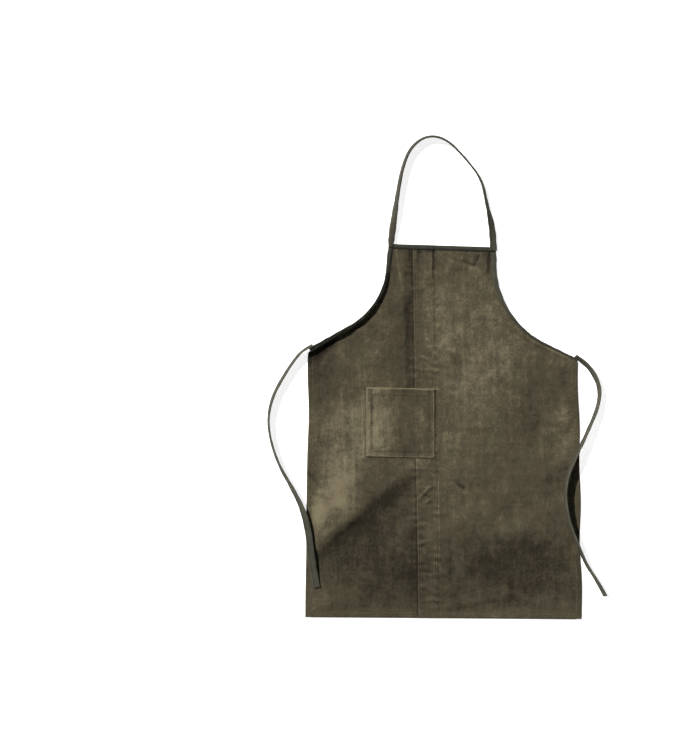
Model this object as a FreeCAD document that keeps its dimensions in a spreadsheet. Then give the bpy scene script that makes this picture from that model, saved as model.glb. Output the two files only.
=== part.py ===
"""Canvas work apron, laid out flat with its neck strap and waist ties.

The cloth lies in the XY plane, face up (+Z), with the bib towards +Y.
The origin is under the middle of the cloth, on the surface that it lies on.
Sizes are in millimetres.  Each piece is written to parts/ under its label.
"""
import FreeCAD, Part
import math
import os
import re

import Sketcher
from FreeCAD import Vector

doc = FreeCAD.newDocument("Apron")


# ---------------------------------------------------------------- driving dimensions

SIZES = {
    # The finished cloth.  Left and right are those of someone looking at its face.
    "body_width": 650.0,        # bottom edge, side to side
    "body_length": 880.0,       # bib's top edge to bottom edge
    "top_slope": 8.0,           # right end of the bib's top edge is this much lower
    "bottom_slope": 5.0,        # right bottom corner is this much lower
    "bib_left": 129.0,          # bib's corners, from the centre line
    "bib_right": 124.0,
    "waist_reach": 316.0,       # waist corners, from the centre line
    "left_waist": 196.0,        # waist corners, above the middle
    "right_waist": 170.0,
    # Each armhole is two straight runs that meet at a knee and are joined by an arc.
    "left_knee_reach": 145.0,
    "left_knee": 291.0,
    "left_armhole_radius": 165.0,
    "right_knee_reach": 126.0,
    "right_knee": 264.0,
    "right_armhole_radius": 205.0,
    # Cloth, hems and bindings.
    "cloth": 1.0,               # one layer of heavy canvas
    "hem_width": 13.0,          # turned under twice along the sides and the bottom
    "hem_layers": 2.0,
    "binding_leaf": 10.0,       # visible width of the tape along the armholes
    "top_leaf": 11.0,           # visible width of the tape along the bib's top
    "binding_cloth": 1.2,       # one leaf of that tape
    # The lapped seam that joins the two panels, right over left.
    "lap_top": 72.0,            # its left edge, left of the centre line, at the bib's top
    "lap_bottom": 58.0,         # and at the bottom edge
    "lap_width": 46.0,
    "joggle": 2.0,              # the upper layer reaches this far past the lap
    # Patch pocket.
    "pocket_left": 180.0,       # left of the centre line
    "pocket_width": 159.4,
    "pocket_top": 104.0,        # top left corner, above the middle
    "pocket_depth": 162.0,
    "pocket_droop": 4.0,        # its right side hangs this much lower
    "pocket_turning": 10.0,
    "pocket_hem": 16.0,
    # Sewing thread, as a raised line along each row of stitches.
    "thread_width": 0.8,
    "thread_rise": 0.4,
    "edge_row": 2.0,            # first row, from a sewn edge
    "second_row": 7.0,          # second row, from the same edge
    "hem_row": 11.0,            # row that holds a hem, from the folded edge
    "bartack_length": 10.0,
    "bartack_width": 2.4,
    # Folded canvas tape of the neck strap and ties.
    "tape_width": 16.0,
    "tape_thickness": 3.0,
    "strap_root": 40.0,         # the strap lies flat this far from the bib
    "left_free": 350.0,         # down each side, the tie keeps off the cloth this far
    "right_free": 170.0,
    # Clearances.
    "clearance": 0.3,           # between pieces that move apart
}

sheet = doc.addObject("Spreadsheet::Sheet", "Sizes")
for line, (alias, number) in enumerate(SIZES.items(), start=1):
    sheet.set(f"A{line}", alias)
    sheet.set(f"B{line}", str(number))
    sheet.setAlias(f"B{line}", alias)
doc.recompute()


def size(formula):
    """The value of a formula on the sheet's aliases."""
    return float(sheet.evalExpression(formula))


def bound(formula):
    """The same formula as another object of the document has to write it."""
    return re.sub(r"[a-z_]+", lambda word: "Sizes." + word.group(), formula)


# Levels above the surface, as formulas on the sheet.
HEM_TOP = "hem_layers * cloth"
PANEL_TOP = f"{HEM_TOP} + cloth"
LAP_TOP = f"{PANEL_TOP} + cloth"
POCKET_TOP = f"{LAP_TOP} + cloth"
BINDING_TOP = f"{PANEL_TOP} + binding_cloth"
LAP_BINDING_TOP = f"{LAP_TOP} + binding_cloth"


def top_edge(x):
    """Height of the panels' raw top edge at x, as a formula: the tape covers it."""
    share = f"(({x}) + bib_left) / (bib_left + bib_right)"
    return f"body_length / 2 - binding_cloth - top_slope * {share}"


def bottom_edge(x):
    """Height of the bottom fold at x, as a formula."""
    return f"-body_length / 2 + bottom_slope * (body_width / 2 - ({x})) / body_width"


# ---------------------------------------------------------------- ways to make a piece

def pad(body, name, corners, level, thickness):
    """A slab on the body's XY plane, with each corner held by two bound dimensions."""
    sketch = body.newObject("Sketcher::SketchObject", name + "_outline")
    plane = next(part for part in body.Origin.OriginFeatures if part.Role == "XY_Plane")
    sketch.AttachmentSupport = (plane, [""])
    sketch.MapMode = "FlatFace"
    sketch.setExpression("AttachmentOffset.Base.z", bound(level))
    spots = [Vector(size(x), size(y), 0) for x, y in corners]
    for here, there in zip(spots, spots[1:] + spots[:1]):
        sketch.addGeometry(Part.LineSegment(here, there))
    last = len(spots) - 1
    for edge in range(last + 1):
        before = edge - 1 if edge else last
        sketch.addConstraint(Sketcher.Constraint("Coincident", before, 2, edge, 1))
    for edge, (x, y) in enumerate(corners):
        for kind, formula in (("DistanceX", x), ("DistanceY", y)):
            row = sketch.addConstraint(Sketcher.Constraint(kind, -1, 1, edge, 1, size(formula)))
            sketch.renameConstraint(row, f"{kind}_{edge}")
            sketch.setExpression(f"Constraints.{kind}_{edge}", bound(formula))
    slab = body.newObject("PartDesign::Pad", name + "_pad")
    slab.Profile = sketch
    slab.setExpression("Length", bound(thickness))
    doc.recompute()
    return slab


def round_corner(body, slab, x, y, radius):
    """A fillet on the slab's upright edge at x, y."""
    spot = Vector(size(x), size(y), 0)

    def off_spot(edge):
        ends = [vertex.Point for vertex in edge.Vertexes]
        return max(math.hypot(end.x - spot.x, end.y - spot.y) for end in ends)

    edges = slab.Shape.Edges
    nearest = min(range(len(edges)), key=lambda number: off_spot(edges[number]))
    fillet = body.newObject("PartDesign::Fillet", slab.Name + "_round")
    fillet.Base = (slab, [f"Edge{nearest + 1}"])
    fillet.setExpression("Radius", bound(radius))
    body.Tip = fillet
    doc.recompute()


def unit(vector):
    return vector.normalize() if vector.Length else vector


def offset_corners(points, radii, shift):
    """The route moved sideways by shift, left positive, with its corner radii."""
    moved = []
    changed = []
    for index, point in enumerate(points):
        into = unit(point - points[index - 1]) if index else None
        out = unit(points[index + 1] - point) if index + 1 < len(points) else None
        into = into or out
        out = out or into
        left_in = Vector(-into.y, into.x, 0)
        left_out = Vector(-out.y, out.x, 0)
        miter = (left_in + left_out) * (1 / (1 + left_in.dot(left_out)))
        moved.append(point + miter * shift)
        turns_left = into.x * out.y - into.y * out.x > 0
        changed.append(max(radii[index] - shift if turns_left else radii[index] + shift, 0))
    return moved, changed


def route_edges(points, radii):
    """Straight runs joined by tangent arcs, in order."""
    edges = []
    here = points[0]
    for before, corner, after, radius in zip(points, points[1:], points[2:], radii[1:]):
        back = unit(before - corner)
        ahead = unit(after - corner)
        half_turn = (math.pi - back.getAngle(ahead)) / 2
        if radius <= 0:
            edges.append(Part.LineSegment(here, corner).toShape())
            here = corner
            continue
        reach = radius * math.tan(half_turn)
        start = corner + back * reach
        end = corner + ahead * reach
        middle_way = unit(back + ahead)
        middle = corner + middle_way * (radius / math.cos(half_turn) - radius)
        edges.append(Part.LineSegment(here, start).toShape())
        edges.append(Part.Arc(start, middle, end).toShape())
        here = end
    edges.append(Part.LineSegment(here, points[-1]).toShape())
    return edges


def band(points, radii, side_a, side_b, level, height):
    """A strip that follows a route between two sideways offsets, left positive."""
    one = route_edges(*offset_corners(points, radii, side_a))
    other = route_edges(*offset_corners(points, radii, side_b))
    starts = [edges[0].firstVertex(True).Point for edges in (one, other)]
    ends = [edges[-1].lastVertex(True).Point for edges in (one, other)]
    caps = [Part.LineSegment(*starts).toShape(), Part.LineSegment(*ends).toShape()]
    outline = Part.Wire(Part.__sortEdges__(one + other + caps))
    outline.translate(Vector(0, 0, level))
    return Part.Face(outline).extrude(Vector(0, 0, height))


def straight(start, end, side_a, side_b, level, height):
    return band([start, end], [0, 0], side_a, side_b, level, height)


def feature(label, shape):
    """A piece whose shape follows a line, which no sketch feature makes."""
    piece = doc.addObject("Part::Feature", label)
    piece.Label = label
    piece.Shape = shape.removeSplitter()
    piece.Placement = FreeCAD.Placement()
    return piece


def thread(points, radii, inset, level):
    """One row of stitches, at inset to the left of the route."""
    half = size("thread_width") / 2
    return band(points, radii, inset - half, inset + half, level, size("thread_rise"))


def cut_piece(label, base, tool):
    """The base less the tool, as a document object."""
    cut = doc.addObject("Part::Cut", label)
    cut.Label = label
    cut.Base = base
    cut.Tool = tool
    cut.Refine = True
    return cut


def place(x, y):
    """A point on the surface from two formulas."""
    return Vector(size(x), size(y), 0)


# ---------------------------------------------------------------- the two canvas panels

LAP_LEFT_TOP = "-lap_top"
LAP_LEFT_BOTTOM = "-lap_bottom"
LAP_RIGHT_TOP = "-lap_top + lap_width"
LAP_RIGHT_BOTTOM = "-lap_bottom + lap_width"


def corner_top(x):
    return (x, top_edge(x))


def corner_bottom(x):
    return (x, bottom_edge(x))


LEFT_KNEE = ("-left_knee_reach", "left_knee")
RIGHT_KNEE = ("right_knee_reach", "right_knee")
LEFT_WAIST = ("-waist_reach", "left_waist")
RIGHT_WAIST = ("waist_reach", "right_waist")

left_panel = doc.addObject("PartDesign::Body", "left_panel")
left_slab = pad(
    left_panel,
    "left_panel",
    [
        corner_bottom("-body_width / 2"),
        corner_bottom(LAP_RIGHT_BOTTOM),
        corner_top(LAP_RIGHT_TOP),
        corner_top("-bib_left"),
        LEFT_KNEE,
        LEFT_WAIST,
    ],
    HEM_TOP,
    "cloth",
)
round_corner(left_panel, left_slab, *LEFT_KNEE, "left_armhole_radius")

# The right panel lies beside the left one and steps up onto it over the lap.
right_panel = doc.addObject("PartDesign::Body", "right_panel")
right_slab = pad(
    right_panel,
    "right_panel",
    [
        corner_bottom(LAP_RIGHT_BOTTOM),
        corner_bottom("body_width / 2"),
        RIGHT_WAIST,
        RIGHT_KNEE,
        corner_top("bib_right"),
        corner_top(LAP_RIGHT_TOP),
    ],
    HEM_TOP,
    "cloth",
)
round_corner(right_panel, right_slab, *RIGHT_KNEE, "right_armhole_radius")
pad(
    right_panel,
    "right_panel_lap",
    [
        corner_bottom(LAP_LEFT_BOTTOM),
        corner_bottom(LAP_RIGHT_BOTTOM + " + joggle"),
        corner_top(LAP_RIGHT_TOP + " + joggle"),
        corner_top(LAP_LEFT_TOP),
    ],
    PANEL_TOP,
    "cloth",
)

both_panels = doc.addObject("Part::MultiFuse", "both_panels")
both_panels.Shapes = [left_panel, right_panel]

# ---------------------------------------------------------------- armhole bindings

top_left = Vector(-size("bib_left"), size("body_length / 2"), 0)
top_right = Vector(size("bib_right"), size("body_length / 2 - top_slope"), 0)
left_waist = place(*LEFT_WAIST)
right_waist = place(*RIGHT_WAIST)
left_armhole = [top_left, place(*LEFT_KNEE), left_waist]
right_armhole = [top_right, place(*RIGHT_KNEE), right_waist]
left_radii = [0, size("left_armhole_radius"), 0]
right_radii = [0, size("right_armhole_radius"), 0]
wrap = size("binding_cloth")
leaf = size("binding_leaf")
binding_top = size(BINDING_TOP)

# From bib to waist the cloth is on the left of the left armhole and on the
# right of the right one.  The tape is folded round the raw edge.
left_blank = feature(
    "left_binding_blank", band(left_armhole, left_radii, -wrap, leaf, 0, binding_top)
)
right_blank = feature(
    "right_binding_blank", band(right_armhole, right_radii, -leaf, wrap, 0, binding_top)
)
left_binding = cut_piece("left_armhole_binding", left_blank, both_panels)
right_binding = cut_piece("right_armhole_binding", right_blank, both_panels)

# ---------------------------------------------------------------- bib's top binding

lap_top_left = Vector(-size("lap_top"), 0, 0)
lap_top_right = Vector(size("-lap_top + lap_width + joggle"), 0, 0)
slope_way = unit(top_right - top_left)


def on_top_edge(x):
    """The point of the finished top edge at x."""
    return top_left + slope_way * ((x - top_left.x) / slope_way.x)


top_leaf = size("top_leaf")
low_bar = straight(top_left, top_right, -top_leaf, 0, 0, binding_top)
high_bar = straight(
    on_top_edge(lap_top_left.x - wrap),
    on_top_edge(lap_top_right.x + wrap),
    -top_leaf,
    0,
    0,
    size(LAP_BINDING_TOP),
)
top_blank = feature("top_binding_blank", low_bar.fuse(high_bar))
bound_cloth = doc.addObject("Part::MultiFuse", "bound_cloth")
bound_cloth.Shapes = [both_panels, left_binding, right_binding]
top_binding = cut_piece("bib_top_binding", top_blank, bound_cloth)

# ---------------------------------------------------------------- side and bottom hems

bottom_left = place(*corner_bottom("-body_width / 2"))
bottom_right = place(*corner_bottom("body_width / 2"))
hem = size("hem_width")
hem_top = size(HEM_TOP)
bottom_hem = feature("bottom_hem", straight(bottom_left, bottom_right, 0, hem, 0, hem_top))
clearance = size("clearance")


def along(start, end, distance):
    return start + unit(end - start) * distance


# The side hems stop at the bottom one, and the armhole bindings lie over their tops.
left_hem_end = along(bottom_left, left_waist, hem + clearance)
right_hem_end = along(bottom_right, right_waist, hem + clearance)
left_hem_blank = feature(
    "left_hem_blank", straight(left_waist, left_hem_end, 0, hem, 0, hem_top)
)
right_hem_blank = feature(
    "right_hem_blank", straight(right_waist, right_hem_end, -hem, 0, 0, hem_top)
)
cut_piece("left_side_hem", left_hem_blank, left_binding)
cut_piece("right_side_hem", right_hem_blank, right_binding)

# ---------------------------------------------------------------- patch pocket

POCKET_RIGHT = "-pocket_left + pocket_width"
POCKET_CORNERS = [
    ("-pocket_left", "pocket_top - pocket_depth"),
    (POCKET_RIGHT, "pocket_top - pocket_depth - pocket_droop"),
    (POCKET_RIGHT, "pocket_top - pocket_droop"),
    ("-pocket_left", "pocket_top"),
]
pocket = doc.addObject("PartDesign::Body", "pocket")
pad(pocket, "pocket", POCKET_CORNERS, LAP_TOP, "cloth")

pocket_low_left, pocket_low_right, pocket_top_right, pocket_top_left = (
    place(*corner) for corner in POCKET_CORNERS
)
pocket_sides = [pocket_top_left, pocket_low_left, pocket_low_right, pocket_top_right]
turning = size("pocket_turning")
turned_level = size(PANEL_TOP)
cloth = size("cloth")
turned_blank = feature(
    "pocket_turning_blank", band(pocket_sides, [0] * 4, 0, turning, turned_level, cloth)
)
pocket_hem_blank = feature(
    "pocket_hem_blank",
    straight(pocket_top_left, pocket_top_right, -size("pocket_hem"), 0, turned_level, cloth),
)
pocket_hem = cut_piece("pocket_top_hem", pocket_hem_blank, right_panel)
turning_stop = doc.addObject("Part::MultiFuse", "turning_stop")
turning_stop.Shapes = [right_panel, pocket_hem]
cut_piece("pocket_turned_edge", turned_blank, turning_stop)

# ---------------------------------------------------------------- rows of stitches

panel_level = size(PANEL_TOP)
lap_level = size(LAP_TOP)
pocket_level = size(POCKET_TOP)
rise = size("thread_rise")
thread_width = size("thread_width")
edge_row = size("edge_row")
second_row = size("second_row")
hem_row = size("hem_row")
tack_length = size("bartack_length")
tack_width = size("bartack_width")


def trimmed(points, first, last):
    """The route without its first and last stretch."""
    cut = list(points)
    cut[0] = along(points[0], points[1], first)
    cut[-1] = along(points[-1], points[-2], last)
    return cut


def row_over_lap(start, end, inset, low, high, span, cloth_below):
    """A row that climbs onto a raised span of its line and comes down again."""
    way = unit(end - start)
    first, second = (start + way * ((x - start.x) / way.x) for x in span)
    half = thread_width / 2
    whole = thread([start, end], [0, 0], inset, low)
    hump = straight(first, second, inset - half, inset + half, low, high - low + rise)
    return whole.fuse(hump).cut(cloth_below)


# Each row's ends stop short of what crosses them by this much.
shy = 2 * thread_width
lap_span = (
    size(LAP_LEFT_BOTTOM) - shy,
    size(LAP_RIGHT_BOTTOM + " + joggle") + shy,
)
bottom_row = row_over_lap(
    bottom_left, bottom_right, hem_row, panel_level, lap_level, lap_span, both_panels.Shape
)
feature("bottom_hem_stitching", bottom_row)

high_bar_span = (lap_top_left.x - wrap - shy, lap_top_right.x + wrap + shy)
top_row = row_over_lap(
    along(top_left, top_right, leaf + shy),
    along(top_right, top_left, leaf + shy),
    edge_row - top_leaf,
    binding_top,
    size(LAP_BINDING_TOP),
    high_bar_span,
    top_binding.Shape,
)
feature("bib_top_stitching", top_row)

armhole_inset = leaf - edge_row
clear_of_tack = tack_length + shy
feature(
    "left_armhole_stitching",
    thread(
        trimmed(left_armhole, clear_of_tack, clear_of_tack),
        left_radii,
        armhole_inset,
        binding_top,
    ),
)
feature(
    "right_armhole_stitching",
    thread(
        trimmed(right_armhole, clear_of_tack, clear_of_tack),
        right_radii,
        -armhole_inset,
        binding_top,
    ),
)

side_start = 2 * leaf
side_end = hem_row + shy
feature(
    "left_side_stitching",
    thread(trimmed([left_waist, bottom_left], side_start, side_end), [0, 0], hem_row, panel_level),
)
feature(
    "right_side_stitching",
    thread(
        trimmed([right_waist, bottom_right], side_start, side_end), [0, 0], -hem_row, panel_level
    ),
)

# The seam's two rows run under the pocket, where its cloth takes their place.
lap_start = place(*corner_bottom(LAP_LEFT_BOTTOM))
lap_end = place(*corner_top(LAP_LEFT_TOP))
lap_run = trimmed([lap_end, lap_start], top_leaf + shy, side_end + shy)
lap_width = size("lap_width")
for label, inset in (
    ("lap_seam_left_stitching", edge_row),
    ("lap_seam_right_stitching", lap_width - edge_row),
):
    row = thread(lap_run, [0, 0], inset, lap_level)
    feature(label, row.cut(pocket.Shape))

for label, inset in (
    ("pocket_outer_stitching", edge_row),
    ("pocket_inner_stitching", second_row),
):
    sides = trimmed(pocket_sides, tack_width + shy, tack_width + shy)
    feature(label, thread(sides, [0] * 4, inset, pocket_level))

hem_line = trimmed([pocket_top_left, pocket_top_right], second_row + shy, second_row + shy)
feature(
    "pocket_hem_stitching",
    thread(hem_line, [0, 0], edge_row - size("pocket_hem"), pocket_level),
)


def bartack(start, way, inset, length, level):
    """A short dense bar of thread, from start along way."""
    far = start + way * length
    half = tack_width / 2
    return straight(start, far, inset - half, inset + half, level, rise)


pocket_way = unit(pocket_top_right - pocket_top_left)
pocket_tacks = [
    bartack(pocket_top_left + pocket_way * rise, pocket_way, -tack_width, tack_length, pocket_level),
    bartack(
        pocket_top_right - pocket_way * (tack_length + rise),
        pocket_way,
        -tack_width,
        tack_length,
        pocket_level,
    ),
]
piece = doc.addObject("Part::Feature", "pocket_bartacks")
piece.Shape = Part.Compound(pocket_tacks)

left_root_way = unit(left_armhole[1] - left_armhole[0])
right_root_way = unit(right_armhole[1] - right_armhole[0])
strap_tacks = [
    bartack(top_left + left_root_way * rise, left_root_way, leaf / 2, tack_length, binding_top),
    bartack(top_right + right_root_way * rise, right_root_way, -leaf / 2, tack_length, binding_top),
]
piece = doc.addObject("Part::Feature", "strap_bartacks")
piece.Shape = Part.Compound(strap_tacks)

left_end_way = unit(left_armhole[1] - left_armhole[2])
right_end_way = unit(right_armhole[1] - right_armhole[2])
tie_tacks = [
    bartack(left_waist + left_end_way * rise, left_end_way, -leaf / 2, tack_length, binding_top),
    bartack(right_waist + right_end_way * rise, right_end_way, leaf / 2, tack_length, binding_top),
]
piece = doc.addObject("Part::Feature", "tie_bartacks")
piece.Shape = Part.Compound(tie_tacks)

# ---------------------------------------------------------------- neck strap and ties

# Corners of each tape's route, chosen by hand: the tape stands on its edge, and
# each corner is rounded by an arc as large as its two runs allow.
NECK_STRAP_ROUTE = [
    (-123, 441), (-116, 500), (-107, 560), (-96, 620), (-76, 668), (-36, 695),
    (10, 684), (55, 636), (90, 590), (102, 530), (114, 480), (117, 433.3),
]
LEFT_TIE_ROUTE = [
    (-317.3, 196.9), (-341, 180), (-372, 134), (-400, 84), (-412, 30), (-404, -26),
    (-384, -82), (-353, -134), (-327, -186), (-314, -244), (-308, -305), (-296, -365),
]
RIGHT_TIE_ROUTE = [
    (317.3, 170.9), (345, 148), (367, 104), (362, 58), (340, 8), (314, -48),
    (289, -100), (282, -152), (292, -212), (314, -264), (334, -312), (359, -348),
    (379, -385),
]
ARC_SHARE = 0.45

tape_width = size("tape_width")
tape_thickness = size("tape_thickness")


def tape_radii(points, label):
    """The largest radius that each corner's shorter run allows."""
    radii = [0.0]
    for before, corner, after in zip(points, points[1:], points[2:]):
        run = min((corner - before).Length, (after - corner).Length)
        half_turn = (math.pi - (before - corner).getAngle(after - corner)) / 2
        radii.append(ARC_SHARE * run / math.tan(half_turn))
    radii.append(0.0)
    print(label, "radii", [round(radius) for radius in radii[1:-1]])
    return radii


def tape(route, label):
    """The tape on its edge, and its route with radii."""
    points = [Vector(x, y, 0) for x, y in route]
    radii = tape_radii(points, label)
    half = tape_thickness / 2
    solid = band(points, radii, -half, half, 0, tape_width)
    length = sum(edge.Length for edge in route_edges(points, radii))
    section = tape_thickness * tape_width
    print(label, "length", round(length, 1), "volume share", solid.Volume / (length * section))
    return solid, points, radii


# The strap's roots lie flat, in line with the armhole bindings.
strap, strap_points, strap_radii = tape(NECK_STRAP_ROUTE, "neck_strap")
half_width = tape_width / 2
roots = []
above_roots = []
for first, second in ((strap_points[0], strap_points[1]), (strap_points[-1], strap_points[-2])):
    root = (first, along(first, second, size("strap_root")), -half_width, half_width)
    roots.append(straight(*root, 0, tape_thickness))
    above_roots.append(straight(*root, tape_thickness, tape_width))
feature("neck_strap", strap.cut(above_roots).fuse(roots))

# A tie is raised off the cloth, and off its thread, where it lies over it.
step = size(PANEL_TOP) + rise + clearance
step_reach = 100.0
left_tie, left_points, left_tie_radii = tape(LEFT_TIE_ROUTE, "left_waist_tie")
right_tie, right_points, right_tie_radii = tape(RIGHT_TIE_ROUTE, "right_waist_tie")
left_step = straight(
    along(left_waist, bottom_left, size("left_free")),
    bottom_left,
    -2 * tape_thickness,
    step_reach,
    0,
    step,
)
right_step = straight(
    along(right_waist, bottom_right, size("right_free")),
    bottom_right,
    -step_reach,
    2 * tape_thickness,
    0,
    step,
)
feature("left_waist_tie", left_tie.cut(left_step))
feature("right_waist_tie", right_tie.cut(right_step))

# The row that closes each tape runs along its face, near the upper edge.
row_level = tape_width - edge_row - thread_width
face = tape_thickness / 2
end_row = 6.0


def tape_row(points, radii):
    route = trimmed(points, shy, shy)
    return band(route, radii, face, face + rise, row_level, thread_width)


def end_bar(points):
    """The short row across a tie's free end."""
    start = along(points[-1], points[-2], end_row)
    far = along(points[-1], points[-2], end_row + thread_width)
    foot = step + rise
    return straight(start, far, -face - rise, -face, foot, row_level - foot)


feature("neck_strap_stitching", tape_row(strap_points, strap_radii).cut(above_roots))
for label, points, radii in (
    ("left_tie_stitching", left_points, left_tie_radii),
    ("right_tie_stitching", right_points, right_tie_radii),
):
    piece = doc.addObject("Part::Feature", label)
    piece.Shape = Part.Compound([tape_row(points, radii), end_bar(points)])

# ---------------------------------------------------------------- check and write

PIECES = [
    "left_panel", "right_panel", "left_armhole_binding", "right_armhole_binding",
    "bib_top_binding", "left_side_hem", "right_side_hem", "bottom_hem",
    "pocket", "pocket_top_hem", "pocket_turned_edge",
    "lap_seam_left_stitching", "lap_seam_right_stitching", "bib_top_stitching",
    "left_armhole_stitching", "right_armhole_stitching", "left_side_stitching",
    "right_side_stitching", "bottom_hem_stitching", "pocket_outer_stitching",
    "pocket_inner_stitching", "pocket_hem_stitching", "pocket_bartacks",
    "strap_bartacks", "tie_bartacks", "neck_strap", "neck_strap_stitching",
    "left_waist_tie", "left_tie_stitching", "right_waist_tie", "right_tie_stitching",
]

doc.recompute()
for thing in doc.Objects:
    faults = {"Invalid", "Error"} & set(thing.State)
    if faults:
        raise RuntimeError(f"{thing.Label} is {faults}")

os.makedirs("parts", exist_ok=True)
for label in PIECES:
    shape = doc.getObject(label).Shape
    if shape.isNull() or not shape.isValid():
        raise RuntimeError(f"{label} has no valid shape")
for label in PIECES:
    doc.getObject(label).Shape.exportStep(f"parts/{label}.step")
print(len(PIECES), "pieces written")
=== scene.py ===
import math

import bpy
import numpy as np
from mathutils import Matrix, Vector


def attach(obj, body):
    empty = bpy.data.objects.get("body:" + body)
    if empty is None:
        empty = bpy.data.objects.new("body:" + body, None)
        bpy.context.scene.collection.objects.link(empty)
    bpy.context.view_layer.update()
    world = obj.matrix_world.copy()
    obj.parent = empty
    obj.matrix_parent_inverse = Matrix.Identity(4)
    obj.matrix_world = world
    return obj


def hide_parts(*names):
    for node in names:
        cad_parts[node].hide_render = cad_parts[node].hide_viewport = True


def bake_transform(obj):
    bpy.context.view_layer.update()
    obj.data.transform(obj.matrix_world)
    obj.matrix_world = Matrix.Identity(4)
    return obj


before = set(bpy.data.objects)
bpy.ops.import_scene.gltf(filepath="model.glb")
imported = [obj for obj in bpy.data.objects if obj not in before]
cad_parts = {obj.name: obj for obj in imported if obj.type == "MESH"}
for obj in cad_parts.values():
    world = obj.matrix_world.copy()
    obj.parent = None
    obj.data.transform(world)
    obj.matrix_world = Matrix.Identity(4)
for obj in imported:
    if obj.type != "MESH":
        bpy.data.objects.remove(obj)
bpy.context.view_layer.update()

mm = 0.001

# ==================================================================== table and light
# The apron lies face up on a white table and is seen from straight above.  One
# hard lamp stands at the upper left, so raised tape throws its shadow down right.

VIEW_CENTRE = (-0.2305, 0.1559)
VIEW_HEIGHT = 4.042
LAMP_BEARING = math.radians(138)
LAMP_HEIGHT = math.radians(38)
LAMP_STRENGTH, LAMP_SPREAD = 6.4, math.radians(1.6)
LAMP_COLOUR = (1.0, 0.965, 0.90)
ROOM_COLOUR, ROOM_STRENGTH = (0.92, 0.96, 1.0, 1), 0.035
TABLE_GLOW = 0.80

camera = bpy.data.objects.new("camera", bpy.data.cameras.new("camera"))
camera.data.lens = 85
camera.data.sensor_width = 36
camera.location = (*VIEW_CENTRE, VIEW_HEIGHT)
bpy.context.scene.collection.objects.link(camera)
bpy.context.scene.camera = camera

lamp = bpy.data.objects.new("lamp", bpy.data.lights.new("lamp", "SUN"))
lamp.data.energy = LAMP_STRENGTH
lamp.data.angle = LAMP_SPREAD
lamp.data.color = LAMP_COLOUR
towards_lamp = Vector((
    math.cos(LAMP_BEARING) * math.cos(LAMP_HEIGHT),
    math.sin(LAMP_BEARING) * math.cos(LAMP_HEIGHT),
    math.sin(LAMP_HEIGHT),
))
lamp.rotation_mode = "QUATERNION"
lamp.rotation_quaternion = towards_lamp.to_track_quat("Z", "Y")
bpy.context.scene.collection.objects.link(lamp)

world = bpy.data.worlds.new("room")
world.use_nodes = True
background = world.node_tree.nodes["Background"]
background.inputs["Color"].default_value = ROOM_COLOUR
background.inputs["Strength"].default_value = ROOM_STRENGTH
bpy.context.scene.world = world
bpy.context.scene.view_settings.view_transform = "Standard"
bpy.context.scene.view_settings.look = "None"


class Socket:
    """A shader value that can be used in sums: each operator adds its Math node."""

    def __init__(self, finish, socket):
        self.finish = finish
        self.socket = socket

    def math(self, operation, *others):
        return self.finish.node(
            "ShaderNodeMath", {"operation": operation}, dict(enumerate((self, *others)))
        )

    def __add__(self, other):
        return self.math("ADD", other)

    def __radd__(self, other):
        return self.math("ADD", other)

    def __sub__(self, other):
        return self.math("SUBTRACT", other)

    def __rsub__(self, other):
        return (self * -1.0) + other

    def __mul__(self, other):
        return self.math("MULTIPLY", other)

    def __rmul__(self, other):
        return self.math("MULTIPLY", other)

    def band(self, low, high):
        """0 below low, 1 above high, smooth between."""
        settings = {"interpolation_type": "SMOOTHSTEP"}
        inputs = {"Value": self, "From Min": low, "From Max": high}
        return self.finish.node("ShaderNodeMapRange", settings, inputs)


class Finish:
    """A material under construction, with one method that adds any node."""

    def __init__(self, name, **constants):
        self.material = bpy.data.materials.new(name)
        self.material.use_nodes = True
        self.tree = self.material.node_tree
        self.surface = self.tree.nodes["Principled BSDF"]
        for socket, value in constants.items():
            self.surface.inputs[socket.replace("_", " ")].default_value = value

    def node(self, kind, settings=None, inputs=None, output=0):
        made = self.tree.nodes.new(kind)
        for setting, value in (settings or {}).items():
            setattr(made, setting, value)
        for key, value in (inputs or {}).items():
            if isinstance(value, Socket):
                self.tree.links.new(value.socket, made.inputs[key])
            else:
                made.inputs[key].default_value = value
        return Socket(self, made.outputs[output])

    def place(self, scale=(1, 1, 1)):
        """Where the point is on the piece, in metres, times a scale."""
        here = self.node("ShaderNodeTexCoord", output="Object")
        return self.node("ShaderNodeMapping", inputs={"Vector": here, "Scale": scale})

    def noise(self, scale, detail=4.0, roughness=0.55, stretch=(1, 1, 1)):
        inputs = {
            "Vector": self.place(stretch), "Scale": scale,
            "Detail": detail, "Roughness": roughness,
        }
        return self.node("ShaderNodeTexNoise", inputs=inputs)

    def attribute(self, name):
        return self.node("ShaderNodeAttribute", {"attribute_name": name}, output="Fac")

    def mix(self, share, one, other):
        """From one colour to the other as share goes from 0 to 1."""
        inputs = {"Factor": share, 6: one, 7: other}
        return self.node("ShaderNodeMix", {"data_type": "RGBA"}, inputs, output=2)

    def shift(self, share, one, tint):
        """The colour, multiplied by a tint as share goes from 0 to 1."""
        settings = {"data_type": "RGBA", "blend_type": "MULTIPLY", "clamp_factor": True}
        return self.node("ShaderNodeMix", settings, {"Factor": share, 6: one, 7: tint}, output=2)

    def feed(self, **links):
        for socket, value in links.items():
            self.tree.links.new(value.socket, self.surface.inputs[socket.replace("_", " ")])

    def bump(self, height, strength, distance):
        inputs = {"Height": height, "Strength": strength, "Distance": distance}
        self.feed(Normal=self.node("ShaderNodeBump", inputs=inputs))


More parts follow.
